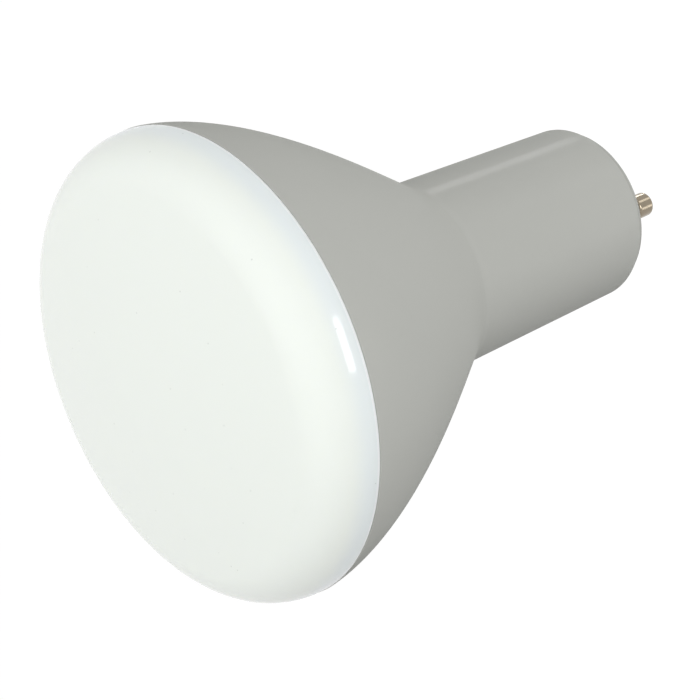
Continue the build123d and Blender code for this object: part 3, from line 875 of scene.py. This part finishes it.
@dataclass
class Inside:
    """The parts that keep their solids: those that the closed housing hides, and the base cap."""

    led_top: float
    pool_depth: float = 0.2 * MM

    @classmethod
    def from_frame(cls) -> "Inside":
        """Finds the top of the light-emitting packages."""
        return cls(led_top=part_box("led_01")[1].z)

    def finishes(self) -> list[Finish]:
        """One finish for each slot of the inner parts: slot, colour and roughness first.

        Returns:
            The finishes.
        """
        black = (0.012, 0.012, 0.013)
        return [
            Turned("heat_spreader", (0.82, 0.83, 0.84), 0.34, bloom=(0.70, 0.71, 0.72), ring=0.4 * MM,
                   blot=6 * MM),
            Moulded("thermal_pad", (0.40, 0.50, 0.60), 0.75, tone=(0.34, 0.44, 0.54), grain=0.3 * MM),
            Moulded("led_board", (0.88, 0.88, 0.86), 0.38, tone=(0.84, 0.84, 0.82)),
            Phosphor("led_package", (0.88, 0.87, 0.83), 0.45, pool=(0.85, 0.62, 0.08),
                     pool_z=self.led_top - self.pool_depth),
            Turned("screw", (0.62, 0.62, 0.61), 0.28, bloom=(0.50, 0.49, 0.46)),
            Moulded("connector", (0.84, 0.82, 0.76), 0.42, tone=(0.80, 0.78, 0.71)),
            Moulded("circuit_board", (0.035, 0.16, 0.055), 0.34, tone=(0.028, 0.125, 0.045), blot=4 * MM),
            Moulded("ferrite", (0.055, 0.053, 0.052), 0.62, tone=(0.040, 0.039, 0.038), grain=0.15 * MM,
                    depth=0.012 * MM),
            Moulded("bobbin", black, 0.40, tone=(0.020, 0.020, 0.021)),
            Moulded("winding", (0.78, 0.52, 0.045), 0.36, tone=(0.70, 0.44, 0.035), blot=3 * MM),
            Moulded("capacitor_can", (0.020, 0.026, 0.060), 0.30, tone=(0.015, 0.020, 0.045)),
            Moulded("film_capacitor", (0.46, 0.060, 0.030), 0.26, tone=(0.40, 0.048, 0.026)),
            Moulded("fuse_resistor", (0.15, 0.38, 0.23), 0.34, tone=(0.12, 0.32, 0.20)),
            Moulded("varistor", (0.035, 0.10, 0.34), 0.24, tone=(0.028, 0.085, 0.29)),
            Moulded("chip", black, 0.55, tone=(0.022, 0.022, 0.023), grain=0.08 * MM, depth=0.006 * MM),
            Moulded("lead_black", black, 0.48, tone=(0.024, 0.024, 0.024)),
            Moulded("lead_white", (0.78, 0.78, 0.75), 0.46, tone=(0.72, 0.72, 0.69)),
            Moulded("lead_red", (0.50, 0.022, 0.018), 0.46, tone=(0.42, 0.018, 0.015)),
        ]

    def dress(self, nodes: dict[str, bpy.types.Object], slots: dict[str, str]) -> None:
        """Gives the inner solids and the base cap their finishes.

        Args:
            nodes: The frame's solids by name.
            slots: Each solid's material slot.
        """
        materials = {finish.slot: finish.material() for finish in (*self.finishes(), BASE_CAP)}
        for name, solid in nodes.items():
            if slots[name] in materials:
                solid.data.materials.clear()
                solid.data.materials.append(materials[slots[name]])
                LOG.info("%s: finish %s", name, slots[name])


@dataclass(frozen=True)
class StudioLight:
    """A soft box, placed as the picture is seen: to the right, up and towards the camera.

    Its length lies along the bulb's axis as far as it can, and its width across it. Gloss shows only the
    boxes that are mirrored, so that the large ones fill evenly.
    """

    name: str
    right: float
    up: float
    near: float
    distance: float
    width: float
    length: float
    level: float
    mirrored: bool = False


@dataclass
class Studio:
    """Camera, lamps, floor and white surroundings."""

    aim: Vector
    azimuth: float = math.radians(110.669)
    elevation: float = math.radians(36.141)
    roll: float = math.radians(113.631)
    distance: float = 399.93 * MM
    focal_pixels: float = 2000.0
    image_pixels: float = 700.0
    sensor: float = 36.0
    near_clip: float = 0.01
    far_clip: float = 10.0
    ambient: float = 0.2
    floor_radius: float = 3.0
    floor_drop: float = 0.9
    floor_colour: Colour = (0.80, 0.80, 0.80)
    floor_white: float = 0.9
    floor_glow: float = 1.09

    def axes(self) -> tuple[Vector, Vector, Vector]:
        """The picture's right, its up and the way back to the camera, in the lamp's frame.

        The way back follows from azimuth and elevation, as on a globe. The level right and up are then
        turned about it by the roll.

        Returns:
            Right, up and back, each of length one.
        """
        level = math.cos(self.elevation)
        back = Vector((
            math.sin(self.azimuth) * level,
            -math.cos(self.azimuth) * level,
            math.sin(self.elevation),
        ))
        level_right = Vector((0, 0, 1)).cross(back).normalized()
        level_up = back.cross(level_right)
        up = level_up * math.cos(self.roll) + level_right * math.sin(self.roll)
        return up.cross(back), up, back

    def build_camera(self) -> None:
        """Makes the scene's camera at the photograph's viewing angle."""
        right, up, back = self.axes()
        lens = bpy.data.cameras.new("camera")
        lens.sensor_width = self.sensor
        lens.lens = self.sensor * self.focal_pixels / self.image_pixels
        lens.clip_start = self.near_clip * self.distance
        lens.clip_end = self.far_clip * self.floor_radius
        camera = bpy.data.objects.new("camera", lens)
        turn = Matrix((right, up, back)).transposed().to_4x4()
        camera.matrix_world = Matrix.Translation(self.aim + back * self.distance) @ turn
        bpy.context.scene.collection.objects.link(camera)
        bpy.context.scene.camera = camera

    def build_light(self, light: StudioLight) -> None:
        """Makes one lamp. A level of one shows a white surface that faces it as white.

        Args:
            light: The lamp's place, size and level.
        """
        right, up, back = self.axes()
        way = (right * light.right + up * light.up + back * light.near).normalized()
        lamp = bpy.data.lights.new(light.name, "AREA")
        lamp.shape = "RECTANGLE"
        lamp.size = light.width
        lamp.size_y = light.length
        lamp.energy = light.level * (math.pi * light.distance) ** 2
        across = Vector((0, 0, 1)).cross(way).normalized()
        turn = Matrix((across, way.cross(across), way)).transposed().to_4x4()
        stand = bpy.data.objects.new(light.name, lamp)
        stand.matrix_world = Matrix.Translation(self.aim + way * light.distance) @ turn
        stand.visible_camera = False
        stand.visible_glossy = light.mirrored
        bpy.context.scene.collection.objects.link(stand)

    def build_world(self) -> None:
        """Makes surroundings that look white and light the object at the ambient level."""
        world = bpy.data.worlds.new("surroundings")
        world.use_nodes = True
        graph = ShaderGraph(world.node_tree)
        strength = self.ambient + graph.seen_plainly() * (1 - self.ambient)
        white = {"Color": opaque(WHITE), "Strength": strength}
        sky = graph.node("ShaderNodeBackground", "Background", {}, white)
        graph.surface(sky, "ShaderNodeOutputWorld")
        bpy.context.scene.world = world

    def build_floor(self) -> None:
        """Makes the pale floor, well below the bulb, which hangs clear of it as in the photograph.

        It looks white and still takes the bulb's shadow.
        """
        material = bpy.data.materials.new("floor")
        material.use_nodes = True
        graph = ShaderGraph(material.node_tree)
        matt = graph.node("ShaderNodeBsdfDiffuse", "BSDF", {}, {"Color": opaque(self.floor_colour)})
        glow = {"Color": opaque(WHITE), "Strength": self.floor_glow}
        white = graph.node("ShaderNodeEmission", "Emission", {}, glow)
        share = graph.seen_plainly() * self.floor_white
        mixed = {"Fac": share, "Shader": matt, "Shader_001": white}
        graph.surface(graph.node("ShaderNodeMixShader", "Shader", {}, mixed))
        square = [(-1, -1), (1, -1), (1, 1), (-1, 1)]
        height = CAD_BOX[0].z - self.floor_drop
        corners = [(self.floor_radius * x, self.floor_radius * y, height) for x, y in square]
        mesh = bpy.data.meshes.new("floor")
        mesh.from_pydata(corners, [], [[0, 1, 2, 3]])
        mesh.materials.append(material)
        floor = bpy.data.objects.new("floor", mesh)
        bpy.context.scene.collection.objects.link(floor)

    def build(self, lights: Sequence[StudioLight]) -> None:
        """Makes everything that isn't the object.

        Args:
            lights: The lamps.
        """
        bpy.context.scene.view_settings.view_transform = "Standard"
        self.build_camera()
        self.build_world()
        self.build_floor()
        for light in lights:
            self.build_light(light)


# The key shows on the lens' shoulder, the strip along the neck and the glints on the pins. Front, side,
# top and high fill evenly, and back lights the far side.
LIGHTS = (
    StudioLight("key", right=0.72, up=0.06, near=0.69, distance=1.0, width=0.40, length=0.25, level=0.20,
                mirrored=True),
    StudioLight("strip", right=0.152, up=0.846, near=-0.512, distance=0.8245, width=0.13, length=0.138,
                level=0.105, mirrored=True),
    StudioLight("glint_high", right=0.704, up=0.71, near=0.015, distance=1.065, width=0.22, length=0.2,
                level=0.035, mirrored=True),
    StudioLight("glint_low", right=1.0, up=-0.016, near=-0.016, distance=1.062, width=0.22, length=0.2,
                level=0.035, mirrored=True),
    StudioLight("front", right=0.183, up=-0.135, near=0.974, distance=1.5, width=1.5, length=1.5, level=0.39),
    StudioLight("side", right=-0.82, up=-0.305, near=0.483, distance=1.5, width=1.5, length=1.5, level=0.712),
    StudioLight("top", right=0.356, up=0.479, near=0.802, distance=1.5, width=1.6, length=1.6, level=0.234),
    StudioLight("high", right=-0.691, up=0.706, near=-0.155, distance=1.5, width=1.6, length=1.6,
                level=0.269),
    StudioLight("back", right=-0.2, up=-0.35, near=-0.91, distance=1.2, width=1.0, length=1.0, level=0.4),
)
AIM = Vector((2.731, -7.240, 72.702)) * MM


def main() -> None:
    """Builds the outer pieces, dresses the inner ones and sets up the studio."""
    logging.basicConfig(level=logging.INFO, format="%(name)s %(message)s")
    slots = {part["node"]: part["material_slot"] for part in frame["record"]["subparts"]}
    housing = Housing.from_frame()
    housing.build()
    Lens.from_frame(housing).build()
    Pins.from_frame().build()
    Inside.from_frame().dress(frame["nodes"], slots)
    Studio(aim=AIM).build(LIGHTS)


if __name__ == "__main__":
    main()
